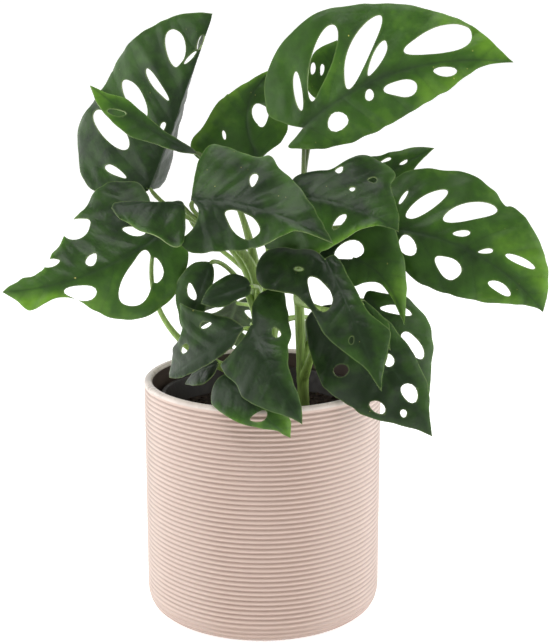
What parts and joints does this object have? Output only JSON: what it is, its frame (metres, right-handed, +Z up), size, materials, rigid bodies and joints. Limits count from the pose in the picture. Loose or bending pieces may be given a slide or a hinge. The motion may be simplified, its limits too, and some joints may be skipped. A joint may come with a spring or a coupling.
{
  "type": "potted monstera adansonii house plant",
  "caption": "Monstera adansonii with holed leaves, growing in a thin plastic pot that stands in a straight ribbed ceramic cover pot.",
  "frame": {"origin": "middle of the cover pot's foot, on the surface that it stands on", "axes": "+Z up along the pot's axis, -Y to the front, towards the viewer, +X to the viewer's right"},
  "size_m": [0.3096, 0.2184, 0.353],
  "materials": {
    "pot_ceramic": "matte, fine level ribs",
    "grower_plastic": "matte",
    "soil": "rough, crumbly",
    "stem": "satin, green",
    "leaf": "satin, dark green",
    "young_leaf": "satin, light green"
  },
  "bodies": {
    "root": {"cover_pot": "pot_ceramic", "grower_pot": "grower_plastic", "leaf_back_centre": "leaf", "leaf_back_left": "leaf", "leaf_back_low_left": "leaf", "leaf_back_low_right": "leaf", "leaf_back_right": "leaf", "leaf_behind_centre": "leaf", "leaf_behind_right": "leaf", "leaf_centre_right": "leaf", "leaf_curled_right": "leaf", "leaf_far_right_low": "leaf", "leaf_front_centre": "leaf", "leaf_front_left": "leaf", "leaf_front_low": "leaf", "leaf_inside_left": "leaf", "leaf_left": "leaf", "leaf_low_centre_right": "leaf", "leaf_low_left": "leaf", "leaf_low_right": "leaf", "leaf_low_right_behind": "leaf", "leaf_narrow_left": "leaf", "leaf_over_rim": "leaf", "leaf_right": "leaf", "leaf_small_behind_top": "leaf", "leaf_small_centre": "leaf", "leaf_top_right": "leaf", "leaf_upper_left": "leaf", "leaf_young_left": "young_leaf", "soil": "soil", "stem_back": "stem", "stem_left": "stem", "stem_right": "stem"}
  },
  "joints": []
}
